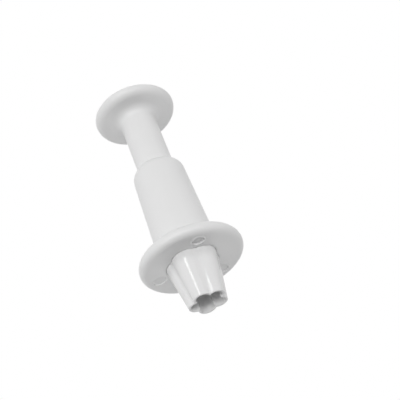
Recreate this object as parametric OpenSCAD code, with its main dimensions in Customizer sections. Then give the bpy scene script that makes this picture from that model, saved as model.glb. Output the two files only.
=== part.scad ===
// Plunger cutter for small blossoms: a sprung hand tool in white moulded plastic.
// The axis of the tool is Z, towards the thumb disc.
// The origin is the centre of the cutting edge, and one petal points along -X.

/* [Cutter] */
// Number of petals round the blossom
petals = 5; // [5:1:7]
// Width over the petal crests at the cutting edge, outside
blossom_d = 11.6; // [11:0.1:12.4]
// Outside radius of one petal at the cutting edge
petal_r = 2.6; // [2.5:0.05:2.8]
// Wall at the cutting edge
edge_wall = 0.55; // [0.4:0.05:0.65]
// Length from the cutting edge to the underside of the flange
cutter_reach = 13.2; // [12:0.1:16]
// Width over the petal crests where the cutter enters the flange
root_d = 15.9; // [15.4:0.1:16.4]
// Outside radius of one petal where the cutter enters the flange
root_petal_r = 4.5; // [4.2:0.05:4.8]
// Gap between the root of the cutter and the petal-shaped hole in the flange
root_gap = 0.15; // [0.1:0.05:0.3]
// Length of the round spigot that plugs into the barrel
spigot_len = 6; // [5:0.5:8]
// Wall of the spigot
spigot_wall = 1.5; // [1.2:0.1:1.7]

/* [Grip body] */
// Diameter of the finger flange
flange_d = 31; // [28:0.5:36]
// Thickness of the finger flange, whose rim is a full round
flange_t = 3.8; // [3.4:0.1:4.6]
// Depth of the shallow dish in the underside of the flange
dish_depth = 0.35; // [0.25:0.05:1]
// Width of the flat ring between the dish and the round of the rim
dish_margin = 0.1; // [0.1:0.1:0.8]
// Bevel on the lower edge of the petal-shaped hole for the cutter
hole_bevel = 0.35; // [0.2:0.05:0.5]
// Depth of the hole in the flange, up to the seat of the cutter
seat_depth = 2.8; // [2.4:0.1:3]
// Length of the barrel above the flange
barrel_len = 32.2; // [30:0.2:38]
// Wall of the barrel
barrel_wall = 1.45; // [1.2:0.05:2]
// Growth of the barrel radius from its top down to the flange
barrel_draft = 1.05; // [0.8:0.05:1.4]
// Round on the shoulder of the barrel
shoulder_r = 3.4; // [1.5:0.1:3.8]
// Fillet between the barrel and the flange
barrel_fillet_r = 0.8; // [0.4:0.1:1.5]
// Length of the bore that guides the stem
guide_len = 7; // [5:0.5:9]
// Diameter of each of the two ejector marks on the underside of the flange
mark_d = 4; // [2:0.1:4]
// Depth of each ejector mark
mark_depth = 0.25; // [0.1:0.05:0.5]
// Diameter of the sunk gate, where the plastic of the body ran in
sink_d = 3.7; // [3:0.1:4]
// Depth of the sunk gate
sink_depth = 0.6; // [0.5:0.1:1.2]
// Diameter of the stub of plastic that was broken off in the sunk gate
stub_d = 1.2; // [0.8:0.1:1.6]
// Height of the stub
stub_h = 0.3; // [0.2:0.1:0.4]

/* [Thumb plunger] */
// Diameter of the thumb disc
thumb_d = 25.6; // [22:0.5:30]
// Thickness of the thumb disc
thumb_t = 3.2; // [2.8:0.1:4]
// Round on the lower edge of the thumb disc; the round on its upper edge is the rest of the thickness
thumb_edge_r = 2.4; // [1.6:0.1:2.6]
// Diameter of the stem
stem_d = 11.15; // [10.4:0.05:12]
// Length of stem in sight between barrel and thumb disc, not pressed
stem_out = 21.4; // [18:0.2:26]
// Fillet between the stem and the thumb disc
flare_r = 2.65; // [1.5:0.05:3.5]
// Diameter of the gate recess in the top of the thumb disc
gate_d = 5; // [3:0.5:7]
// Depth of the gate recess
gate_depth = 0.4; // [0.2:0.1:0.6]
// Travel of the plunger from rest to its lower stop
travel = 9.5; // [8:0.25:10.5]
// How far the embosser passes the cutting edge at full press
eject = 0.5; // [0:0.1:1]

/* [Rod and stops] */
// Diameter of the push rod
rod_d = 5; // [4.4:0.1:5.6]
// Length of push rod gripped inside the stem
rod_grip = 18; // [12:1:22]
// Depth of the groove in the push rod that holds the stop collar
groove_depth = 0.5; // [0.4:0.05:0.7]
// Diameter of the tip of the push rod that the embosser is pressed on
tip_d = 3.6; // [3:0.1:4]
// Length of the tip
tip_len = 1.8; // [1.4:0.1:2]
// Thickness of the stop collar
collar_t = 2; // [1.6:0.1:2.6]
// Length of the pilot under the stop collar that centres the spring
pilot_len = 1; // [0.6:0.1:1.6]
// How far the stop collar reaches past the stem, under the guide bore
stop_ledge = 0.55; // [0.45:0.05:0.7]
// Width of the slot through which the stop collar snaps on to the rod
snap_w = 3.4; // [3:0.1:3.8]
// Thickness of the embosser
embosser_t = 3; // [2.6:0.1:3.4]
// Diameter of the hollow in the embosser that raises the dot of the blossom
dot_d = 1.9; // [1.4:0.1:2.2]
// Depth of the hollow
dot_depth = 0.55; // [0.3:0.05:0.7]

/* [Spring] */
// Diameter of the spring wire
wire_d = 0.7; // [0.5:0.05:0.8]
// Mean diameter of the coil
coil_d = 9; // [8.6:0.1:9.6]
// Working turns
active_turns = 6; // [4:1:7]
// Closed turns at each end
end_turns = 1; // [1:1:2]
// Gap between the closed turns
end_gap = 0.45; // [0.42:0.01:0.6]

/* [Fits] */
// Radial clearance of what slides in a round bore
slide_gap = 0.05; // [0.03:0.01:0.1]
// Radial clearance of what is pressed together
press_gap = 0.02; // [0.01:0.01:0.03]
// Clearance of the embosser in the petals of the cutter
petal_gap = 0.12; // [0.08:0.02:0.2]
// Radial clearance of the stop collar in the barrel
bore_gap = 0.3; // [0.2:0.05:0.5]
// Radial clearance of the spring round its pilots
coil_gap = 0.5; // [0.3:0.05:0.7]
// Clearance between the spring and its seats, and over the end of the rod
seat_gap = 0.02; // [0.01:0.01:0.05]
// Least room over the embosser when it is at rest
ceiling_gap = 0.3; // [0.2:0.05:0.6]

/* [Hidden] */
$fn = 64;

white = [0.93, 0.93, 0.92];
bright_white = [0.96, 0.96, 0.96];
natural = [0.88, 0.87, 0.82];
steel = [0.62, 0.63, 0.65];

// Overlap that joins two shapes of one piece, and length by which a cut runs clear
lap = 0.2;

// Heights from the cutting edge upwards
z_flange = cutter_reach;
z_flange_top = z_flange + flange_t;
z_barrel_top = z_flange_top + barrel_len;
z_ledge = z_barrel_top - guide_len;
z_thumb = z_barrel_top + stem_out;
z_thumb_top = z_thumb + thumb_t;
z_dish = z_flange + dish_depth;
z_root = z_dish + hole_bevel;
z_seat = z_flange + seat_depth;
z_spigot = z_seat + spigot_len;
z_embosser = travel - eject;
z_embosser_top = z_embosser + embosser_t;
z_bush = max(z_root, z_embosser_top + ceiling_gap);
z_spring_top = z_ledge - collar_t;
z_pilot = z_spring_top - pilot_len;
z_bush_top = z_pilot - travel;
z_rod_top = z_ledge + rod_grip;

// Radii of stem, bore and barrel, which share one draft
stem_r = stem_d / 2;
guide_r = stem_r + slide_gap;
collar_r = stem_r + stop_ledge;
bore_top_r = collar_r + bore_gap;
function bore_r(z) = bore_top_r + barrel_draft * (z_barrel_top - z) / barrel_len;
function barrel_r(z) = bore_r(z) + barrel_wall;
draft_angle = atan2(barrel_draft, barrel_len);

// Radii of the blossom: how far each petal centre stands from the axis
tip_centre = blossom_d / 2 - petal_r;
root_centre = root_d / 2 - root_petal_r;
channel_r = petal_r - edge_wall;

// Radii of the straight root of the cutter, of its hole in the flange and of the spigot that passes the hole
root_share = z_root / cutter_reach;
key_centre = tip_centre + (root_centre - tip_centre) * root_share;
key_r = petal_r + (root_petal_r - petal_r) * root_share;
hole_petal_r = key_r + root_gap;
hole_r = key_centre + hole_petal_r;
half_petal = 180 / petals;
valley_r = key_centre * cos(half_petal) + sqrt(pow(hole_petal_r, 2) - pow(key_centre * sin(half_petal), 2));
seat_r = min(bore_r(z_spigot), valley_r);
bush_r = seat_r - spigot_wall;

// Dish in the underside of the flange: a flat cone from the rim in towards the axis
dish_r = (flange_d - flange_t) / 2 - dish_margin;
dish_angle = atan2(dish_depth, dish_r - hole_r);
// The sunk gate and the ejector marks stand halfway along the cone and square to it
mark_place = [(dish_r + hole_r) / 2, 0, z_flange + dish_depth / 2];

// Radii of rod and spring
rod_r = rod_d / 2;
groove_r = rod_r - groove_depth;
tip_r = tip_d / 2;
pilot_r = (coil_d - wire_d) / 2 - coil_gap;

// Turns the petals so that one of them points along -X
petal_turn = 180;
// Turns the sunk gate, which sits beside the valley between two petals; the marks share the circle with it
gate_turn = -69;
third = 360 / 3;

// Rings of the spring along each turn, and sides of its wire
coil_steps = 24;
wire_sides = 6;
turns = active_turns + 2 * end_turns;
coil_rings = coil_steps * turns;
closed_pitch = wire_d + end_gap;
coil_rise = z_spring_top - z_spigot - wire_d - 2 * seat_gap;

function total(list) = list * [for (x = list) 1];
function ease(t) = let (u = min(1, max(0, t))) u * u * (3 - 2 * u);
// 0 on the closed turns and 1 on the working turns, with a smooth change between
function openness(ring) =
    let (turn = (ring + 0.5) / coil_steps)
    ease(turn - end_turns) * ease(turns - end_turns - turn);
open_turns = total([for (i = [0 : coil_rings - 1]) openness(i)]) / coil_steps;
open_pitch = (coil_rise - closed_pitch * turns) / open_turns;
coil_heights = [for (i = 0, z = z_spigot + seat_gap + wire_d / 2; i <= coil_rings;
    z = z + (closed_pitch + open_pitch * openness(i)) / coil_steps, i = i + 1) z];
coil_path = [for (i = [0 : coil_rings])
    let (a = 360 * i / coil_steps)
    [coil_d / 2 * cos(a), coil_d / 2 * sin(a), coil_heights[i]]];
coil_points = [for (i = [0 : coil_rings], s = [0 : wire_sides - 1])
    let (a = 360 * i / coil_steps, b = 360 * s / wire_sides)
    let (r = coil_d / 2 + wire_d / 2 * cos(b))
    [r * cos(a), r * sin(a), coil_heights[i] + wire_d / 2 * sin(b)]];
coil_sides = [for (i = [0 : coil_rings - 1], s = [0 : wire_sides - 1])
    let (p = i * wire_sides + s, q = i * wire_sides + (s + 1) % wire_sides)
    each [[p, q, p + wire_sides], [q, q + wire_sides, p + wire_sides]]];
last_ring = coil_rings * wire_sides;
coil_ends = [for (s = [1 : wire_sides - 2])
    each [[0, s + 1, s], [last_ring, last_ring + s, last_ring + s + 1]]];
// Least gap of the wire to itself, between points more than half a turn apart
coil_self_gap = min([for (i = [0 : coil_rings - 1], j = [i + coil_steps / 2 : 1 : coil_rings])
    norm(coil_path[j] - coil_path[i])]) - wire_d;
echo(spring_gap_to_itself = coil_self_gap);

// Outline of a disc in half section, from the axis out to its rim, which has a round below and one above
module round_disc(d, t, low_r) {
    high_r = t - low_r;
    square([d / 2 - low_r, low_r]);
    translate([0, low_r])
        square([d / 2 - high_r, high_r]);
    intersection() {
        translate([d / 2 - low_r, low_r])
            circle(r = low_r);
        square([d / 2, low_r]);
    }
    intersection() {
        translate([d / 2 - high_r, low_r])
            circle(r = high_r);
        translate([0, low_r])
            square([d / 2, high_r]);
    }
}

// Fillet in half section between a flat face at z = 0 and a side that leans in by an angle
module foot_fillet(side_r, r, lean) {
    centre = [side_r - r * tan(lean) + r / cos(lean), r];
    difference() {
        polygon([
            [side_r - lap, 0],
            [centre[0], 0],
            centre,
            centre - r * [cos(lean), sin(lean)],
            [side_r - lap, r]
        ]);
        translate(centre)
            circle(r = r);
    }
}

// Blossom outline: a round core with petals at an equal distance from the axis
module blossom(centre, core, r) {
    circle(r = core);
    for (k = [0 : petals - 1])
        rotate(petal_turn + 360 * k / petals)
            translate([centre, 0])
                circle(r = r);
}

// One fluted petal of the cutter: a cone that leans outwards towards the flange
module petal_flute() {
    lean = atan2(root_centre - tip_centre, cutter_reach);
    axis_len = norm([root_centre - tip_centre, cutter_reach]);
    grow = (root_petal_r - petal_r) / axis_len;
    run = seat_depth;
    translate([tip_centre, 0, 0])
        rotate([0, lean, 0])
            translate([0, 0, -run])
                cylinder(h = axis_len + 2 * run, r1 = petal_r - run * grow, r2 = root_petal_r + run * grow);
}

// Barrel in half section: a tapered side and a rounded shoulder
module barrel_profile() {
    z_centre = z_barrel_top - shoulder_r;
    centre = [barrel_r(z_centre) - shoulder_r / cos(draft_angle), z_centre];
    polygon([
        [0, z_flange_top - lap],
        [barrel_r(z_flange_top - lap), z_flange_top - lap],
        centre + shoulder_r * [cos(draft_angle), sin(draft_angle)],
        [centre[0], z_barrel_top],
        [0, z_barrel_top]
    ]);
    translate(centre)
        circle(r = shoulder_r);
}

// Flat cone that hollows the underside of the flange
module dish_cone() {
    slope = tan(dish_angle);
    translate([0, 0, z_flange - lap])
        cylinder(r1 = dish_r + lap / slope, r2 = 0, h = dish_r * slope + lap);
}

// Petal-shaped hole for the root of the cutter, with a bevel on its lower edge
module root_hole() {
    translate([0, 0, z_flange])
        linear_extrude(seat_depth)
            blossom(key_centre, key_centre, hole_petal_r);
    for (k = [0 : petals - 1])
        rotate(petal_turn + 360 * k / petals)
            translate([key_centre, 0, z_dish - lap])
                cylinder(r1 = hole_petal_r + hole_bevel + lap, r2 = hole_petal_r, h = hole_bevel + lap);
}

// Round plug on the dish and square to it, between two heights
module dish_plug(turn, d, low, high) {
    rotate(turn)
        translate(mark_place)
            rotate([0, dish_angle, 0])
                translate([0, 0, low])
                    cylinder(d = d, h = high - low);
}

// Body held between two fingers: flange and barrel in one moulding
module grip_body() {
    color(white)
    difference() {
        rotate_extrude() {
            translate([0, z_flange])
                round_disc(flange_d, flange_t, flange_t / 2);
            barrel_profile();
            translate([0, z_flange_top])
                foot_fillet(barrel_r(z_flange_top), barrel_fillet_r, draft_angle);
        }
        dish_cone();
        root_hole();
        translate([0, 0, z_seat - lap])
            cylinder(r = seat_r, h = spigot_len + lap);
        translate([0, 0, z_spigot])
            cylinder(r1 = seat_r, r2 = bore_r(z_ledge), h = z_ledge - z_spigot);
        translate([0, 0, z_ledge - lap])
            cylinder(r = guide_r, h = guide_len + 2 * lap);
        for (k = [1, 2])
            dish_plug(gate_turn + k * third, mark_d, -lap, mark_depth);
        difference() {
            dish_plug(gate_turn, sink_d, -lap, sink_depth);
            dish_plug(gate_turn, stub_d, sink_depth - stub_h, sink_depth + lap);
        }
    }
}

// Fluted cutter: petals below, a straight root in the flange and a spigot in the barrel
module blossom_cutter() {
    color(bright_white)
    difference() {
        union() {
            intersection() {
                union() {
                    for (k = [0 : petals - 1])
                        rotate(petal_turn + 360 * k / petals)
                            petal_flute();
                    cylinder(r1 = tip_centre, r2 = root_centre, h = z_seat);
                }
                cylinder(r = flange_d / 2, h = z_root + lap);
            }
            translate([0, 0, z_root])
                linear_extrude(z_seat - z_root)
                    blossom(key_centre, key_centre, key_r);
            translate([0, 0, z_seat - lap])
                cylinder(r = seat_r - press_gap, h = spigot_len + lap);
        }
        translate([0, 0, -lap])
            linear_extrude(z_bush + 2 * lap)
                blossom(tip_centre, tip_centre, channel_r);
        translate([0, 0, z_bush])
            cylinder(r = bush_r, h = z_spigot - z_bush + lap);
    }
}

// Bush that guides the rod, carries the spring and ends as the lower stop
module guide_bush() {
    color(natural)
    difference() {
        union() {
            translate([0, 0, z_bush])
                cylinder(r = bush_r - press_gap, h = z_spigot - z_bush);
            translate([0, 0, z_spigot - lap])
                cylinder(r = pilot_r, h = z_bush_top - z_spigot + lap);
        }
        translate([0, 0, z_bush - lap])
            cylinder(r = rod_r + slide_gap, h = z_bush_top - z_bush + 2 * lap);
    }
}

// Compression spring with closed ends, at its length when the plunger is up
module return_spring() {
    color(steel)
    polyhedron(points = coil_points, faces = concat(coil_sides, coil_ends));
}

// Split ring snapped into the groove of the rod: upper seat of the spring and upper stop
module stop_collar() {
    color(natural)
    difference() {
        union() {
            translate([0, 0, z_spring_top])
                cylinder(r = collar_r, h = collar_t);
            translate([0, 0, z_pilot])
                cylinder(r = pilot_r, h = pilot_len + lap);
        }
        translate([0, 0, z_pilot - lap])
            cylinder(r = groove_r + press_gap, h = z_ledge - z_pilot + 2 * lap);
        translate([-snap_w / 2, 0, z_pilot - lap])
            cube([snap_w, collar_r + lap, z_ledge - z_pilot + 2 * lap]);
    }
}

// Rod from the embosser up into the stem, with a groove for the stop collar
module push_rod() {
    color(natural) {
        translate([0, 0, z_embosser_top - tip_len])
            cylinder(r = tip_r, h = tip_len + lap);
        translate([0, 0, z_embosser_top])
            cylinder(r = rod_r, h = z_pilot - z_embosser_top);
        translate([0, 0, z_pilot - lap])
            cylinder(r = groove_r, h = z_ledge - z_pilot + 2 * lap);
        translate([0, 0, z_ledge])
            cylinder(r = rod_r, h = rod_grip);
    }
}

// Blossom-shaped pad that pushes the cut shape out and raises its dot
module embosser() {
    ball_r = (pow(dot_d / 2, 2) + pow(dot_depth, 2)) / (2 * dot_depth);
    color(bright_white)
    difference() {
        translate([0, 0, z_embosser])
            linear_extrude(embosser_t)
                blossom(tip_centre, tip_centre - petal_gap, channel_r - petal_gap);
        translate([0, 0, z_embosser_top - tip_len])
            cylinder(r = tip_r + press_gap, h = tip_len + lap);
        translate([0, 0, z_embosser + dot_depth - ball_r])
            sphere(r = ball_r);
    }
}

// Thumb disc and hollow stem in one moulding, pressed on to the rod
module thumb_plunger() {
    color(white)
    difference() {
        rotate_extrude() {
            translate([0, z_thumb])
                round_disc(thumb_d, thumb_t, thumb_edge_r);
            translate([0, z_ledge])
                square([stem_r, z_thumb - z_ledge + lap]);
            translate([0, z_thumb])
                mirror([0, 1])
                    foot_fillet(stem_r, flare_r, 0);
        }
        translate([0, 0, z_ledge - lap])
            cylinder(r = rod_r + press_gap, h = rod_grip + lap + seat_gap);
        translate([0, 0, z_thumb_top - gate_depth])
            cylinder(d = gate_d, h = gate_depth + lap);
    }
}

grip_body();
blossom_cutter();
guide_bush();
return_spring();
stop_collar();
push_rod();
embosser();
thumb_plunger();
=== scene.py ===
# %% [markdown]
# # A small plunger cutter for icing
# The tool is pressed together from white plastic mouldings: a thumb disc on a stem, a barrel with a finger
# flange, and a fluted cutter in the shape of a blossom. The CAD model is loaded first and stays as it is.
# Every new piece is modelled over it in the same frame, in metres, with +Z towards the thumb disc.

# %% Load the CAD frame
import math

import bmesh
import bpy
from mathutils import Matrix, Vector


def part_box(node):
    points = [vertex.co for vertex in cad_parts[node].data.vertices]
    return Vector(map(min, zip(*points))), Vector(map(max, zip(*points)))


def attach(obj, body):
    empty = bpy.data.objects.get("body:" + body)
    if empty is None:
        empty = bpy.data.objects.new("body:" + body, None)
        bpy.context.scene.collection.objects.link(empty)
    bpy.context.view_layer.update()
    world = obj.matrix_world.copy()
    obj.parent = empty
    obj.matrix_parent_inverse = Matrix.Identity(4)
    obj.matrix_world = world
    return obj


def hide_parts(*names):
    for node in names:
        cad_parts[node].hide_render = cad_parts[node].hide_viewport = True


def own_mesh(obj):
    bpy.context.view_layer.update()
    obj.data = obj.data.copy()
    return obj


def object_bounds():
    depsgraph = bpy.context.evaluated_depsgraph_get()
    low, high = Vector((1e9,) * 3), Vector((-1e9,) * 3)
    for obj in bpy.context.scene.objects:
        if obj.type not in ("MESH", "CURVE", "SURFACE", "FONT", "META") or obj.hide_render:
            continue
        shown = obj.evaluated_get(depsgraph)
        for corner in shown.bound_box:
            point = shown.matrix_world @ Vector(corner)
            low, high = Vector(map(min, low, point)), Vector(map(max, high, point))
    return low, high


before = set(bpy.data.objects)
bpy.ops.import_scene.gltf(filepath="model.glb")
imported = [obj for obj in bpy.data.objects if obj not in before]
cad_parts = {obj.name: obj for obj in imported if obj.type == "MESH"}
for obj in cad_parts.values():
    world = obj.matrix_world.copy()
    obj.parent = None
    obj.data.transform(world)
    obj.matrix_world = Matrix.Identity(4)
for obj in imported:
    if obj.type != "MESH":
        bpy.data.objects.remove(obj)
cad_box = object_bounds()
mm = 0.001
print("CAD nodes:", sorted(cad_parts))

# %% [markdown]
# ## Sizes from the frame
# A dressed piece has to sit exactly where its solid is, so radii and heights are read from the boxes of the
# CAD nodes. Only what a box can't show, such as a fillet, is written here as a size of its own. Pieces that
# are pressed together keep a hair's breadth between their faces, because faces in one place would flicker.

# %% Read the main sizes
grip_low, grip_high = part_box("grip_body")
thumb_low, thumb_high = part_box("thumb_plunger")
_, cutter_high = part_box("blossom_cutter")
embosser_low, embosser_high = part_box("embosser")
spring_low, spring_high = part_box("return_spring")
_, rod_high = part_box("push_rod")
bush_low, bush_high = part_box("guide_bush")

press_gap = 0.02 * mm
flange_z = grip_low.z
thumb_top = thumb_high.z
flange_t, thumb_t = 3.8 * mm, 3.2 * mm
flange_r = (grip_high.x - grip_low.x) / 2
thumb_r = (thumb_high.x - thumb_low.x) / 2
bush_r = (bush_high.x - bush_low.x) / 2 + press_gap
print("flange radius", round(flange_r / mm, 2), "mm, thumb disc radius", round(thumb_r / mm, 2), "mm")

# %% [markdown]
# ## Helpers for work in edit mode
# Operators act on whatever is selected, and the import leaves the CAD nodes selected. So each piece starts
# with nothing selected, and points are then picked by number or by place.

# %% Start, select and finish a piece
weld = 0.002 * mm


def start_piece(name):
    """The primitive just added becomes a named piece at the origin, open in edit mode with all selected."""
    piece = bpy.context.object
    piece.name = piece.data.name = name
    bpy.ops.object.transform_apply(location=True, rotation=True, scale=True)
    bpy.ops.object.mode_set(mode="EDIT")
    bpy.ops.mesh.select_mode(type="VERT")
    bpy.ops.mesh.select_all(action="SELECT")
    return piece


def pick_points(piece, test):
    """Selects the points for which the test is true, and the edges and faces between them."""
    mesh = bmesh.from_edit_mesh(piece.data)
    for vertex in mesh.verts:
        vertex.select = bool(test(vertex))
    mesh.select_flush(True)
    mesh.select_flush(False)
    bmesh.update_edit_mesh(piece.data)


def close_piece(piece, sharp=38):
    """Merges doubles, turns all faces outwards and shades the piece, with edges kept above that angle."""
    bpy.ops.mesh.select_all(action="SELECT")
    bpy.ops.mesh.remove_doubles(threshold=weld)
    bpy.ops.mesh.normals_make_consistent(inside=False)
    if bmesh.from_edit_mesh(piece.data).calc_volume(signed=True) < 0:
        bpy.ops.mesh.flip_normals()
    open_edges = sum(not edge.is_manifold for edge in bmesh.from_edit_mesh(piece.data).edges)
    bpy.ops.object.mode_set(mode="OBJECT")
    bpy.ops.object.shade_smooth_by_angle(angle=math.radians(sharp))
    print(piece.name, "has", len(piece.data.polygons), "faces and", open_edges, "open edges")
    return piece


print("points nearer than", weld / mm, "mm are merged")

# %% [markdown]
# ## Turned shapes
# The body and the plunger are round all over. A lathe shape can be grown ring by ring from a circle, or spun
# from a drawn half section. The second way is used: the section is one line of points, each with a radius and
# a height, and where it meets the axis the spun points are merged to a pole. Round edges are arcs in it.

# %% Spin a piece from its half section
ROUND = 128
speck_size = 0.1 * mm


def arc(centre, radius, start, end, steps):
    """Points (radius, height) on an arc of the half section, from one angle to another in degrees."""
    angles = [math.radians(start + (end - start) * k / steps) for k in range(steps + 1)]
    return [(centre[0] + radius * math.cos(a), centre[1] + radius * math.sin(a)) for a in angles]


def turned(name, section, floor_at_start=False, floor_at_end=False):
    """A round piece through the points of the half section. A plane is merged to its first point."""
    points = [(0, section[0][1])] * floor_at_start + section + [(0, section[-1][1])] * floor_at_end
    radius, height = points[0]
    bpy.ops.object.select_all(action="DESELECT")
    bpy.ops.mesh.primitive_plane_add(size=speck_size, location=(radius, 0, height))
    piece = start_piece(name)
    bpy.ops.mesh.merge(type="CENTER")
    for next_radius, next_height in points[1:]:
        move = (next_radius - radius, 0, next_height - height)
        bpy.ops.mesh.extrude_region_move(TRANSFORM_OT_translate={"value": move})
        radius, height = next_radius, next_height
    bpy.ops.mesh.select_all(action="SELECT")
    bpy.ops.mesh.spin(steps=ROUND, angle=2 * math.pi, center=(0, 0, 0), axis=(0, 0, 1))
    return piece


print("turned shapes have", ROUND, "sides")

# %% [markdown]
# ## The grip body
# Barrel and flange are one moulding. Its rim is a full round, the shoulder of the barrel is a large round,
# and the underside of the flange is a very flat dish. The section runs from the guide bore over the shoulder,
# down the side, round the rim, across the dish and back up inside.

# %% Sizes of the grip body
guide_r, guide_len = 5.625 * mm, 7.0 * mm
barrel_z = flange_z + flange_t
barrel_len = 32.2 * mm
barrel_top_r, barrel_foot_r = 7.875 * mm, 8.925 * mm
shoulder_r, foot_fillet = 3.4 * mm, 0.8 * mm
wall = 1.45 * mm
dish_depth, dish_margin = 0.35 * mm, 0.1 * mm
hole_r = 8.214 * mm  # where the petals of the hole reach furthest
spigot_wall = 1.5 * mm
spigot_bore_r = bush_r + spigot_wall
mouth_edge = 0.05 * mm

draft = math.degrees(math.atan2(barrel_foot_r - barrel_top_r, barrel_len))
barrel_top = barrel_z + barrel_len
barrel_mid = barrel_z + 16 * mm
ledge_z = barrel_top - guide_len
print("barrel", round(barrel_len / mm, 2), "mm long, draft", round(draft, 2), "degrees")

# %% [markdown]
# The barrel is tapered by its draft, so that it leaves the die. The round of the shoulder has to meet that
# slope without a kink: its arc starts at the edge of the guide bore and ends at the draft angle.

# %% Half section of the grip body
DISH_RINGS = 16


def barrel_radius(height):
    """The outer radius of the tapered barrel at a height."""
    return barrel_top_r + (barrel_foot_r - barrel_top_r) * (barrel_top - height) / barrel_len


shoulder_z = barrel_top - shoulder_r
shoulder_centre = (barrel_radius(shoulder_z) - shoulder_r / math.cos(math.radians(draft)), shoulder_z)
mouth_angle = math.degrees(math.acos((guide_r + mouth_edge - shoulder_centre[0]) / shoulder_r))
mouth_z = shoulder_z + shoulder_r * math.sin(math.radians(mouth_angle))
fillet_centre = (barrel_radius(barrel_z + foot_fillet) + foot_fillet, barrel_z + foot_fillet)
rim_centre = (flange_r - flange_t / 2, flange_z + flange_t / 2)
dish_r = rim_centre[0] - dish_margin
dish_z = flange_z + dish_depth
dish_lean = math.atan2(dish_depth, dish_r - hole_r)

grip_section = [(guide_r, ledge_z), (guide_r, mouth_z - 2 * mouth_edge)]
grip_section += [(guide_r + mouth_edge / 3, mouth_z - mouth_edge / 2)]
grip_section += arc(shoulder_centre, shoulder_r, mouth_angle, draft, steps=16)
grip_section += [(barrel_radius(barrel_mid), barrel_mid)]
grip_section += arc(fillet_centre, foot_fillet, 180 + draft, 270, steps=8)
grip_section += arc(rim_centre, flange_t / 2, 90, -90, steps=28)
for k in range(DISH_RINGS):
    inwards = k / (DISH_RINGS - 1) * (dish_r - spigot_bore_r)
    grip_section += [(dish_r - inwards, flange_z + inwards * math.tan(dish_lean))]
grip_section += [(spigot_bore_r, cutter_high.z), (barrel_radius(ledge_z) - wall, ledge_z), (guide_r, ledge_z)]
print("grip body section:", len(grip_section), "points")

# %% [markdown]
# The section is closed, so the turned body is a shell with its bore inside. The hole for the cutter isn't
# round. It is cut later, when the outline of the petals has been drawn.

# %% Make the grip body
grip = close_piece(turned("grip_shell", grip_section))

# %% [markdown]
# ## The thumb plunger
# Disc and stem are one moulding too, with a generous fillet under the disc so that the thumb's push doesn't
# crack it. The rim has a large round below and a small one on top. A shallow recess on top keeps the stub of
# the gate, where the plastic ran in, below the thumb.

# %% Make the thumb plunger
stem_r, stem_bore_r = 5.575 * mm, 2.52 * mm
stem_round, flare_r = 0.3 * mm, 2.65 * mm
stem_rings = (barrel_top - 2 * mm, barrel_top + 8 * mm)
gate_r, gate_depth, gate_round = 2.5 * mm, 0.4 * mm, 0.15 * mm
gate_stub = [(0.75 * mm, 1.0), (0.6 * mm, 0.5), (0.45 * mm, 0.45)]  # radius, share of the gate's depth
low_edge, high_edge = 2.4 * mm, 0.8 * mm
thumb_z = thumb_top - thumb_t

thumb_section = [(stem_bore_r, rod_high.z + press_gap), (stem_bore_r, thumb_low.z)]
thumb_section += arc((stem_r - stem_round, thumb_low.z + stem_round), stem_round, 270, 360, steps=4)
thumb_section += [(stem_r, height) for height in stem_rings]
thumb_section += arc((stem_r + flare_r, thumb_z - flare_r), flare_r, 180, 90, steps=14)
thumb_section += arc((thumb_r - low_edge, thumb_z + low_edge), low_edge, -90, 0, steps=16)
thumb_section += arc((thumb_r - high_edge, thumb_top - high_edge), high_edge, 0, 90, steps=10)
thumb_section += arc((gate_r + gate_round, thumb_top - gate_round), gate_round, 90, 180, steps=4)
thumb_section += arc((gate_r - gate_round, thumb_top - gate_depth + gate_round), gate_round, 0, -90, steps=4)
thumb_section += [(radius, thumb_top - share * gate_depth) for radius, share in gate_stub]
thumb = close_piece(turned("thumb_disc", thumb_section, floor_at_start=True, floor_at_end=True))

# %% [markdown]
# ## Petal outlines
# The cutter and the embosser share one blossom outline: five round petals with softened valleys. It is drawn
# as half a petal, by spinning a point about the petal's centre and on about the valley's centre.

# %% Draw half a petal
PETALS = 5
HALF = math.pi / PETALS
PETAL_STEPS, VALLEY_STEPS = 14, 8


def half_petal(centre, radius, valley):
    """Spins for half a petal: its start, then (centre, angle, steps) for the petal and for the valley."""
    along, across = centre * math.cos(HALF), centre * math.sin(HALF)
    reach = along + math.sqrt((radius + valley) ** 2 - across**2)
    bend = (reach * math.cos(HALF), reach * math.sin(HALF))
    petal_turn = math.atan2(bend[1], bend[0] - centre)
    valley_turn = petal_turn - HALF
    return (centre + radius, 0), [((centre, 0), petal_turn, PETAL_STEPS), (bend, -valley_turn, VALLEY_STEPS)]


def half_ring(radius):
    """Spins for the same share of a plain circle."""
    return (radius, 0), [((0, 0), HALF, PETAL_STEPS + VALLEY_STEPS)]


def draw_outline(piece, outline, height):
    """Draws one outline at a height and returns the numbers of its points; a plane is merged to its start."""
    (x, y), spins = outline
    bpy.ops.mesh.select_all(action="DESELECT")
    first = len(bmesh.from_edit_mesh(piece.data).verts)
    bpy.ops.mesh.primitive_plane_add(size=speck_size, location=(x, y, height))
    bpy.ops.mesh.merge(type="CENTER")
    for (cx, cy), angle, steps in spins:
        bpy.ops.mesh.spin(steps=steps, angle=angle, center=(cx, cy, height), axis=(0, 0, -1))
    return set(range(first, len(bmesh.from_edit_mesh(piece.data).verts)))


print("half a petal has", PETAL_STEPS + VALLEY_STEPS, "steps")

# %% [markdown]
# Outlines of different height are bridged, mirrored to a whole petal, and the petal is spun round the axis
# five times. A lofted surface would need a curve for each outline, and its points would be harder to match.
# Where a shape ends on the axis, its last outline is a ring too small to see.

# %% Stack outlines to a piece
petal_axis = math.pi
pin_r = 0.02 * mm


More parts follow.
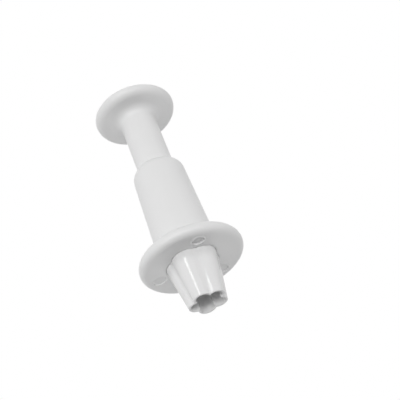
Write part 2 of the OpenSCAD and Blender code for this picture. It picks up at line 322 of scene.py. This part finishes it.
def blossom_piece(name, stations, closed):
    """A blossom-shaped piece through (outline, height) stations; a closed one joins its last to its first."""
    bpy.ops.object.select_all(action="DESELECT")
    bpy.ops.mesh.primitive_plane_add(size=mm)
    piece = start_piece(name)
    bpy.ops.mesh.delete(type="VERT")
    rows = [draw_outline(piece, outline, height) for outline, height in stations]
    pairs = list(zip(rows, rows[1:])) + ([(rows[-1], rows[0])] if closed else [])
    for lower, upper in pairs:
        pick_points(piece, lambda v: v.index in lower or v.index in upper)
        bpy.ops.mesh.bridge_edge_loops()
    bpy.ops.object.mode_set(mode="OBJECT")
    mirror = piece.modifiers.new("whole petal", "MIRROR")
    mirror.use_axis = (False, True, False)
    mirror.merge_threshold = weld
    bpy.ops.object.modifier_apply(modifier=mirror.name)
    bpy.ops.object.mode_set(mode="EDIT")
    bpy.ops.mesh.select_all(action="SELECT")
    bpy.ops.mesh.spin(
        steps=PETALS - 1, dupli=True, angle=2 * HALF * (PETALS - 1), center=(0, 0, 0), axis=(0, 0, 1)
    )
    bpy.ops.mesh.select_all(action="SELECT")
    bpy.ops.transform.rotate(value=petal_axis, orient_axis="Z", center_override=(0, 0, 0))
    return piece


print("the first petal points", round(math.degrees(petal_axis)), "degrees from +X")

# %% [markdown]
# ## The blossom cutter
# The flutes grow from the thin cutting edge to the flange, while the channel inside keeps its size, so that
# the embosser can slide in it. The wall is therefore thin at the edge and thick at the root. The valleys
# between the flutes are sharp at the edge and soft at the root.

# %% Outlines of the flutes
tip_centre, tip_petal = 3.2 * mm, 2.6 * mm
root_centre, root_petal = 3.45 * mm, 4.5 * mm
tip_valley, root_valley = 0.3 * mm, 2.8 * mm
VALLEY_POWER = 0.6


def flute(height, pull=0.0, open_valley=0.0):
    """The outside at a height, with its petals pulled in and its valleys opened by small amounts."""
    share = height / flange_z
    return half_petal(
        tip_centre + (root_centre - tip_centre) * share,
        tip_petal + (root_petal - tip_petal) * share - pull,
        tip_valley + (root_valley - tip_valley) * share**VALLEY_POWER + open_valley,
    )


print("petals reach", round((tip_centre + tip_petal) / mm, 2), "mm at the edge")

# %% [markdown]
# Above the flutes a straight root of the same outline sits in the flange, where it can't turn, and a round
# spigot plugs into the barrel. The stations run up the channel, round the lip, up the outside and back down
# the bore of the spigot.

# %% Make the blossom cutter
channel_petal, channel_valley, channel_mid = 2.05 * mm, 0.15 * mm, 4 * mm
lip_round = 0.07 * mm
root_z, seat_z = bush_low.z, flange_z + 2.8 * mm
spigot_r = spigot_bore_r - press_gap
FLUTE_STATIONS = 10

channel = half_petal(tip_centre, channel_petal, channel_valley)
channel_lip = half_petal(tip_centre, channel_petal + lip_round, channel_valley)
cutter_stations = [(channel, root_z), (channel, channel_mid), (channel, lip_round), (channel_lip, 0)]
cutter_stations += [(flute(0, lip_round), 0)]
flute_heights = [lip_round + (root_z - lip_round) * k / FLUTE_STATIONS for k in range(FLUTE_STATIONS + 1)]
cutter_stations += [(flute(height), height) for height in flute_heights]
cutter_stations += [(flute(root_z), seat_z)]
cutter_stations += [(half_ring(spigot_r), seat_z), (half_ring(spigot_r), cutter_high.z)]
cutter_stations += [(half_ring(bush_r), cutter_high.z), (half_ring(bush_r), root_z)]
cutter = close_piece(blossom_piece("fluted_cutter", cutter_stations, closed=True))

# %% [markdown]
# The hole in the flange follows the root of the cutter closely, and its lower edge falls away in a soft
# round, so that a shaded groove runs round the petals. The plug that cuts it is a stack of the same outlines,
# each wider than the root by the gap and by the round. The round stops at its steepest angle, where it meets
# the straight wall of the hole.

# %% Cut the hole for the cutter
hole_round, steepest = 0.8 * mm, math.radians(50)
plug_foot = flange_z - 1 * mm
HOLE_STEPS = 6


def combine(tool, operation):
    """Joins a tool to the grip body, or cuts it out, and cleans up, so that the next boolean starts well."""
    bpy.ops.object.select_all(action="DESELECT")
    bpy.context.view_layer.objects.active = grip
    grip.select_set(True)
    step = grip.modifiers.new("tool", "BOOLEAN")
    step.operation, step.solver, step.object = operation, "EXACT", tool
    bpy.ops.object.modifier_apply(modifier=step.name)
    bpy.data.objects.remove(tool)
    bpy.ops.object.mode_set(mode="EDIT")
    close_piece(grip, sharp=30)


def widened(extra):
    """The outline of the root of the cutter, wider all round."""
    return flute(root_z, pull=-extra, open_valley=-extra)


round_width = hole_round * math.cos(steepest)
groove_z = dish_z - round_width * math.tan(dish_lean)
hole_stations = [(half_ring(pin_r), plug_foot), (widened(press_gap + round_width), plug_foot)]
for step in range(HOLE_STEPS + 1):
    turn = math.pi / 2 + (steepest - math.pi / 2) * step / HOLE_STEPS
    wider = press_gap + round_width - hole_round * math.cos(turn)
    hole_stations += [(widened(wider), groove_z + hole_round * (1 - math.sin(turn)))]
hole_stations += [(widened(press_gap), seat_z), (half_ring(pin_r), seat_z)]
combine(close_piece(blossom_piece("hole_plug", hole_stations, closed=True)), "DIFFERENCE")

# %% [markdown]
# ## Marks of the die
# Three round recesses under the flange come from the die. Two shallow ones are left by the pins that push
# the moulding out. The deeper one is the gate, where the plastic ran in: a stub of it stays below the surface
# when it is broken off. Each has a low rim, where plastic crept up round the pin.

# %% Half sections of rim and plug
gate_turn, third = -69, 120
mark_r, mark_depth = 2.0 * mm, 0.25 * mm
sink_r, sink_depth = 1.85 * mm, 0.4 * mm
stub_r, stub_z = 0.6 * mm, 0.3 * mm
soft = 0.08 * mm
mark_rim, gate_rim = (0.09 * mm, 0.25 * mm), (0.2 * mm, 0.5 * mm)  # height and width
mark_slope, gate_slope = 0.3 * soft, 0.03 * mm
plug_top, plug_edge = -1.0 * mm, -0.01 * mm


def rim_section(radius, height, width):
    """Half section of the low rim round a recess: a flat top, an outer slope, and a root in the body."""
    return [
        (radius - 0.5 * width, 3 * soft),
        (radius - 0.5 * width, -height),
        (radius + 0.2 * width, -height),
        (radius + 0.55 * width, -0.55 * height),
        (radius + width, 0.15 * height),
        (radius + width, 3 * soft),
        (radius - 0.5 * width, 3 * soft),
    ]


def plug_section(radius, depth, slope):
    """Half section of a plug that widens at the surface, leans inwards and is rounded at its end."""
    return [
        (radius, plug_top),
        (radius, plug_edge),
        (radius - soft, soft),
        (radius - soft - slope, depth - 0.4 * soft),
        (radius - 1.4 * soft - slope, depth),
    ]


gate_plug = plug_section(sink_r, sink_depth, gate_slope)
gate_plug += [(stub_r + soft, sink_depth), (stub_r, sink_depth - soft), (stub_r - soft, stub_z)]
mark_plug = plug_section(mark_r, mark_depth, mark_slope)
recesses = [(gate_turn, rim_section(sink_r, *gate_rim), gate_plug)]
recesses += [(gate_turn + k * third, rim_section(mark_r, *mark_rim), mark_plug) for k in (1, 2)]
print("recesses at", [turn for turn, _, _ in recesses], "degrees")

# %% [markdown]
# The recesses could be drawn into the faces by inset, but the dish is a cone with long thin faces. Here a
# boolean adds a turned ring for each rim and cuts a turned plug for each recess, both leaned with the dish.

# %% Add the rims and cut the recesses
mark_place = Vector(((dish_r + hole_r) / 2, 0, flange_z + dish_depth / 2))

for turn, rim_outline, plug_outline in recesses:
    place = Matrix.Rotation(math.radians(turn), 4, "Z") @ Matrix.Translation(mark_place)
    place = place @ Matrix.Rotation(dish_lean, 4, "Y")
    rim = close_piece(turned("recess_rim", rim_outline))
    rim.data.transform(place)
    combine(rim, "UNION")
    plug = close_piece(turned("recess_plug", plug_outline, floor_at_start=True, floor_at_end=True))
    plug.data.transform(place)
    combine(plug, "DIFFERENCE")

# %% [markdown]
# ## The embosser
# The pad in the channel has the same outline with a little play. Its lower edge is rounded so that it
# doesn't tear the paste, and a hollow in its middle raises a dot in the paste. A hole on top takes the tip of
# the rod. The hollow and the hole end on the axis, where their last small rings are merged to points.

# %% Make the embosser
play, pad_round = 0.12 * mm, 0.25 * mm
pad_petal, pad_valley = channel_petal - play, channel_valley + play
dot_r, dot_depth = 0.95 * mm, 0.55 * mm
pad_low, pad_high = embosser_low.z, embosser_high.z
tip_hole_r, tip_hole_z = 1.82 * mm, pad_high - 1.8 * mm
between_z = pad_low + 0.6 * mm
near_axis = 0.03 * mm
PAD_STEPS, DOT_STEPS = 4, 6

pad_stations = [(half_ring(pin_r), tip_hole_z), (half_ring(tip_hole_r), tip_hole_z)]
pad_stations += [(half_ring(tip_hole_r), pad_high)]
pad_stations += [(half_petal(tip_centre, pad_petal, pad_valley), pad_high)]
for step in range(PAD_STEPS + 1):
    turn = math.radians(90 * step / PAD_STEPS)
    pull = pad_round * (1 - math.cos(turn))
    height = pad_low + pad_round * (1 - math.sin(turn))
    pad_stations += [(half_petal(tip_centre, pad_petal - pull, pad_valley), height)]
for step in range(DOT_STEPS + 1):
    turn = math.radians(90 * step / DOT_STEPS)
    ring = max(dot_r * math.cos(turn), pin_r)
    pad_stations += [(half_ring(ring), pad_low + dot_depth * math.sin(turn))]
pad = blossom_piece("embosser_pad", pad_stations, closed=False)
pick_points(pad, lambda v: v.co.xy.length < near_axis and v.co.z < between_z)
bpy.ops.mesh.merge(type="CENTER")
pick_points(pad, lambda v: v.co.xy.length < near_axis and v.co.z > between_z)
bpy.ops.mesh.merge(type="CENTER")
close_piece(pad)

# %% [markdown]
# ## The return spring
# The spring lies inside the barrel and lifts the plunger. A coil could be a curve with a bevel or a Screw
# modifier. Here the ring of the wire is extruded, raised and turned step by step, because the closed turns at
# the ends rise less than the working turns between them.

# %% Measure the rise of the turns
COIL_STEPS, END_TURNS, WORK_TURNS = 24, 1, 6
wire_r = 0.35 * mm
coil_r = (spring_high.x - spring_low.x) / 2 - wire_r
turns = WORK_TURNS + 2 * END_TURNS
closed_rise = 1.15 * mm


def openness(turn):
    """0 on the closed end turns and 1 on the working turns, with a smooth change between."""
    near_end = min(turn, turns - turn) - END_TURNS
    share = min(1.0, max(0.0, near_end))
    return share * share * (3 - 2 * share)


open_shares = [openness((k + 0.5) / COIL_STEPS) for k in range(COIL_STEPS * turns)]
coil_rise = spring_high.z - spring_low.z - 2 * wire_r
extra_rise = (coil_rise - closed_rise * turns) / (sum(open_shares) / COIL_STEPS)
print("working turns rise", round((closed_rise + extra_rise) / mm, 2), "mm each")

# %% [markdown]
# The first ring is a filled circle that stands upright beside the axis. Its edges are extruded first, so the
# filled face stays behind as the end of the wire, and the last ring is filled when the coil is done.

# %% Make the return spring
WIRE_SIDES = 8

bpy.ops.object.select_all(action="DESELECT")
bpy.ops.mesh.primitive_circle_add(
    vertices=WIRE_SIDES,
    radius=wire_r,
    fill_type="NGON",
    location=(coil_r, 0, spring_low.z + wire_r),
    rotation=(math.pi / 2, 0, 0),
)
spring = start_piece("return_coil")
for k, share in enumerate(open_shares):
    rise = {"value": (0, 0, (closed_rise + extra_rise * share) / COIL_STEPS)}
    if k == 0:
        bpy.ops.mesh.extrude_edges_move(TRANSFORM_OT_translate=rise)
    else:
        bpy.ops.mesh.extrude_region_move(TRANSFORM_OT_translate=rise)
    bpy.ops.transform.rotate(value=2 * math.pi / COIL_STEPS, orient_axis="Z", center_override=(0, 0, 0))
bpy.ops.mesh.edge_face_add()
close_piece(spring, sharp=60)

# %% [markdown]
# ## A short way to write shader maths
# Node trees are hard to read when every link is a line. A small class holds a socket, so that sums of sockets
# read like sums of numbers, and any other node is added by one method with its settings and inputs.

# %% Wrap a socket
class Wire:
    """The output of a node, ready for sums."""

    def __init__(self, socket):
        self.socket = socket

    def add(self, kind, settings=None, inputs=None, output=0):
        """Adds a node to the same tree: its type, its settings, then its inputs as values or wires."""
        tree = self.socket.id_data
        node = tree.nodes.new(kind)
        for name, value in (settings or {}).items():
            setattr(node, name, value)
        for name, value in (inputs or {}).items():
            if isinstance(value, Wire):
                tree.links.new(value.socket, node.inputs[name])
            else:
                node.inputs[name].default_value = value
        return Wire(node.outputs[output])

    def feed(self, socket):
        self.socket.id_data.links.new(self.socket, socket)

    def sum(self, operation, first, second):
        return self.add("ShaderNodeMath", {"operation": operation}, {0: first, 1: second})

    def __add__(self, other):
        return self.sum("ADD", self, other)

    def __sub__(self, other):
        return self.sum("SUBTRACT", self, other)

    def __rsub__(self, other):
        return self.sum("SUBTRACT", other, self)

    def __mul__(self, other):
        return self.sum("MULTIPLY", self, other)

    __radd__, __rmul__ = __add__, __mul__


print("a wire can be added, subtracted and multiplied")

# %% [markdown]
# Every finish starts in the same way: a material with a Principled shader, and the Object coordinates as the
# place of a point. Noise over that place is the same in every view and doesn't need a UV map.

# %% Start a material
def new_material(name):
    """A material with its Principled shader and a wire of the Object coordinates."""
    material = bpy.data.materials.new(name)
    material.use_nodes = True
    tree = material.node_tree
    place = Wire(tree.nodes.new("ShaderNodeTexCoord").outputs["Object"])
    return material, tree.nodes["Principled BSDF"], place


def noise(place, scale, detail=2.0, rough=0.5):
    """Noise with so many waves to the metre."""
    inputs = {"Vector": place, "Scale": scale, "Detail": detail, "Roughness": rough}
    return place.add("ShaderNodeTexNoise", {}, inputs)


def blend_colour(place, factor, first, second):
    """A colour between two, by a factor that varies over the surface."""
    inputs = {"Factor": factor, "A": (*first, 1), "B": (*second, 1)}
    return place.add("ShaderNodeMix", {"data_type": "RGBA"}, inputs, 2)


print("helpers for finishes:", new_material.__name__, noise.__name__, blend_colour.__name__)

# %% [markdown]
# ## White moulded plastic
# The body and the plunger are white plastic with a satin skin: the die was blasted, so the surface has a
# very fine grain, and the melt leaves a faint cloudiness and drawn-out flow marks. The cutter comes from a
# polished die and is glossier. Colour varies by a few per cent only, and most of the life is in roughness
# and bump.

# %% Plastic finishes
CLOUD, FLOW, SPECK, GRAIN = 140.0, 420.0, 1500.0, 9000.0  # waves to the metre
flow_stretch = (1.0, 1.0, 0.12)


def moulded_plastic(name, pale, deep, rough, rough_spread, grain_height, gloss):
    """Clouded colour, drawn-out flow marks in the roughness, and a fine grain in the bump."""
    material, shader, place = new_material(name)
    cloud = noise(place, CLOUD, 3.0)
    speck = noise(place, SPECK, 2.0)
    long_place = place.add("ShaderNodeMapping", {}, {"Vector": place, "Scale": flow_stretch})
    flow = noise(long_place, FLOW, 4.0, 0.6)
    shade = cloud * 0.7 + speck * 0.3
    blend_colour(place, shade, pale, deep).feed(shader.inputs["Base Color"])
    (rough + (flow - 0.5) * rough_spread + (speck - 0.5) * rough_spread).feed(shader.inputs["Roughness"])
    grain = noise(place, GRAIN, 1.0) + flow * 0.6
    bump = place.add("ShaderNodeBump", {}, {"Height": grain, "Strength": 0.35, "Distance": grain_height})
    bump.feed(shader.inputs["Normal"])
    shader.inputs["IOR"].default_value = 1.49
    shader.inputs["Specular IOR Level"].default_value = gloss
    return material


satin_white = moulded_plastic(
    "satin_white", (0.82, 0.82, 0.82), (0.78, 0.78, 0.78), 0.36, 0.12, grain_height=0.004 * mm, gloss=0.5
)
polished_white = moulded_plastic(
    "polished_white", (0.83, 0.83, 0.83), (0.79, 0.79, 0.79), 0.13, 0.06, grain_height=0.003 * mm, gloss=0.5
)
natural_plastic = moulded_plastic(
    "natural_plastic", (0.78, 0.77, 0.72), (0.70, 0.69, 0.63), 0.5, 0.15, grain_height=0.015 * mm, gloss=0.4
)
print("plastic finishes:", satin_white.name, polished_white.name, natural_plastic.name)

# %% [markdown]
# ## Spring steel
# Drawn stainless wire is bright, with fine lines along its length and darker patches where the lubricant was
# wiped off. Noise that is squeezed along the axis gives both, in colour and in roughness.

# %% Steel finish
bright_steel, dull_steel = (0.66, 0.67, 0.69), (0.52, 0.53, 0.55)
LINES = 900.0

spring_steel, steel_shader, steel_place = new_material("drawn_steel")
squeezed = steel_place.add("ShaderNodeMapping", {}, {"Vector": steel_place, "Scale": (1, 1, 8)})
streak = noise(squeezed, LINES, 3.0)
blend_colour(steel_place, streak, bright_steel, dull_steel).feed(steel_shader.inputs["Base Color"])
(0.2 + streak * 0.2).feed(steel_shader.inputs["Roughness"])
steel_shader.inputs["Metallic"].default_value = 1.0
print("steel finish:", spring_steel.name)

# %% [markdown]
# ## Put the pieces on their bodies
# The handle holds body, cutter and spring. The plunger carries thumb disc and embosser. Rod, collar and bush
# are hidden inside, so their CAD solids stay and only get a finish.

# %% Ride, replace and paint
dress = [
    (grip, "handle", "grip_body", "grip_plastic", satin_white),
    (cutter, "handle", "blossom_cutter", "cutter_plastic", polished_white),
    (spring, "handle", "return_spring", "spring_steel", spring_steel),
    (thumb, "plunger", "thumb_plunger", "grip_plastic", satin_white),
    (pad, "plunger", "embosser", "cutter_plastic", polished_white),
]
for piece, body, node, slot, material in dress:
    piece.data.materials.clear()
    piece.data.materials.append(material)
    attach(piece, body)
    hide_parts(node)

for node in ("push_rod", "stop_collar", "guide_bush"):
    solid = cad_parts[node]
    solid.data.materials.clear()
    solid.data.materials.append(natural_plastic)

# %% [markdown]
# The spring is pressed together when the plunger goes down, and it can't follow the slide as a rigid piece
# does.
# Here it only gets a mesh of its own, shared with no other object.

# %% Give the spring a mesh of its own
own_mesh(spring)

# %% [markdown]
# ## The floor
# The tool stands on its cutting edge on a white floor, which is seen from above only. The photograph looks up
# at the tool from below, so the floor's underside is clear, and it is there for the camera alone: the soft
# light of the room reaches the undersides as it would over a white table.

# %% Lay the floor
floor_size, floor_drop = 6.0, 0.1 * mm

bpy.ops.object.select_all(action="DESELECT")
bpy.ops.mesh.primitive_plane_add(size=floor_size, location=(0, 0, cad_box[0].z - floor_drop))
floor = bpy.context.object
floor.name = "floor"
print("floor of", floor_size, "m")

# %% [markdown]
# A little glow is added to the matte paint, for the white of the backdrop that falls on the floor. The tool
# keeps it off where it stands, so the glow is dimmed there by ambient occlusion, and the shadow stays.
# Further out the floor fades into the backdrop.

# %% Paint the floor
fade_start, fade_end = 0.06, 0.35
shadow_reach = 50 * mm

floor_paint = bpy.data.materials.new("pale_floor")
floor_paint.use_nodes = True
floor_tree = floor_paint.node_tree
floor_out = floor_tree.nodes["Material Output"]
floor_tree.nodes.remove(floor_tree.nodes["Principled BSDF"])
floor_place = Wire(floor_tree.nodes.new("ShaderNodeTexCoord").outputs["Object"])
reach = floor_place.add("ShaderNodeVectorMath", {"operation": "LENGTH"}, {0: floor_place}, "Value")
fade = floor_place.add(
    "ShaderNodeMapRange",
    {"interpolation_type": "SMOOTHSTEP"},
    {"Value": reach, "From Min": fade_start, "From Max": fade_end},
)
matte = floor_place.add("ShaderNodeBsdfDiffuse", {}, {"Color": (0.9, 0.9, 0.9, 1)})
glow = floor_place.add("ShaderNodeEmission", {}, {"Strength": 0.45})
lit = floor_place.add("ShaderNodeAddShader", {}, {0: matte, 1: glow})
open_sky = floor_place.add("ShaderNodeAmbientOcclusion", {"samples": 16}, {"Distance": shadow_reach}, "AO")
paint = floor_place.add("ShaderNodeMixShader", {}, {"Fac": open_sky, 1: matte, 2: lit})
white = floor_place.add("ShaderNodeEmission", {}, {"Strength": 1.0})
surface = floor_place.add("ShaderNodeMixShader", {}, {"Fac": fade, 1: paint, 2: white})
seen = floor_place.add("ShaderNodeLightPath", {}, {}, "Is Camera Ray")
back = floor_place.add("ShaderNodeNewGeometry", {}, {}, "Backfacing")
clear = floor_place.add("ShaderNodeBsdfTransparent")
one_sided = floor_place.add("ShaderNodeMixShader", {}, {"Fac": seen * (1 - back), 1: clear, 2: surface})
one_sided.feed(floor_out.inputs["Surface"])
floor.data.materials.append(floor_paint)
print("floor paint:", floor_paint.name)

# %% [markdown]
# ## The light
# A white studio: the light of the room comes from all round and grows with height. The camera, and gloss that
# mirrors the room, see plain white instead, so that the backdrop is white without more light on the tool.

# %% Light the room
paper = (1, 1, 1, 1)
low_light, high_light = 0.23, 0.52

world = bpy.data.worlds.new("studio")
bpy.context.scene.world = world
world.use_nodes = True
world_tree = world.node_tree
direction = Wire(world_tree.nodes.new("ShaderNodeTexCoord").outputs["Generated"])
low_room = direction.add("ShaderNodeBackground", {}, {"Color": paper, "Strength": low_light})
high_room = direction.add("ShaderNodeBackground", {}, {"Color": paper, "Strength": high_light})
height = direction.add("ShaderNodeSeparateXYZ", {}, {"Vector": direction}, "Z") * 0.5 + 0.5
room = direction.add("ShaderNodeMixShader", {}, {"Fac": height, 1: low_room, 2: high_room})
backdrop = direction.add("ShaderNodeBackground", {}, {"Color": paper, "Strength": 1.0})
rays = direction.add("ShaderNodeLightPath", {}, {}, "Is Camera Ray")
path = rays.socket.node
shown = rays + Wire(path.outputs["Is Glossy Ray"]) + Wire(path.outputs["Is Transmission Ray"])
sky = direction.add("ShaderNodeMixShader", {}, {"Fac": shown, 1: room, 2: backdrop})
sky.feed(world_tree.nodes["World Output"].inputs["Surface"])
print("room light", low_light, "below and", high_light, "above")

# %% [markdown]
# A key panel in front on the left, above the tool, draws the streaks on the petals. A wide, low panel in
# front lights the undersides and the mouth of the cutter. Weak panels on both sides and below the back fill
# the shadows, without a reflection.

# %% Set up the panels
def soft_box(name, target_z, side, rise, distance, width, height, level):
    """An area lamp that shines on the axis at a height, from degrees to the right of the front and up."""
    turn, lift = math.radians(side), math.radians(rise)
    aim = Vector((math.sin(turn) * math.cos(lift), -math.cos(turn) * math.cos(lift), math.sin(lift)))
    bpy.ops.object.light_add(type="AREA", location=Vector((0, 0, target_z)) + aim * distance)
    lamp = bpy.context.object
    lamp.name = name
    lamp.rotation_euler = aim.to_track_quat("Z", "Y").to_euler()
    lamp.data.shape, lamp.data.size, lamp.data.size_y = "RECTANGLE", width, height
    lamp.data.energy = level * (math.pi * distance) ** 2
    lamp.visible_camera = False
    print(name, "at", side, "degrees to the side and", rise, "up")
    return lamp


middle_z, flute_z = thumb_top / 2, flange_z / 2
soft_box("key_panel", flute_z, side=-13, rise=14, distance=2.0, width=0.55, height=0.42, level=0.11)
soft_box("front_panel", 0, side=0, rise=-13, distance=2.0, width=3.0, height=0.42, level=0.57)
fill_panels = [
    soft_box("left_panel", middle_z, side=-90, rise=-5, distance=0.6, width=0.4, height=0.4, level=0.21),
    soft_box("right_panel", middle_z, side=90, rise=-10, distance=0.6, width=0.4, height=0.4, level=0.16),
    soft_box("table_panel", middle_z, side=180, rise=-40, distance=0.6, width=0.5, height=0.4, level=0.2),
]
for lamp in fill_panels:
    lamp.visible_glossy = False

# %% [markdown]
# ## The camera
# The photograph looks up at the tool from below its flange, and is turned a little, so that the tool leans to
# the left. The place, the tilt and the turn come from fitting the outlines of the round parts.

# %% Set the camera
camera_place = Vector((8.59, -221.53, -121.6)) * mm
camera_tilt, camera_turn = math.radians(34.84), math.radians(-22.75)
sensor_width, focal_length = 36.0, 82.73

bpy.ops.object.camera_add()
camera = bpy.context.object
camera.data.sensor_width, camera.data.lens = sensor_width, focal_length
camera.data.clip_start, camera.data.clip_end = 0.01, 20.0
camera.matrix_world = (
    Matrix.Translation(camera_place)
    @ Matrix.Rotation(math.pi / 2 + camera_tilt, 4, "X")
    @ Matrix.Rotation(camera_turn, 4, "Z")
)
bpy.context.scene.camera = camera
bpy.context.scene.view_settings.view_transform = "Standard"
print("camera", round(camera_place.length / mm), "mm from the cutting edge, lens", focal_length, "mm")
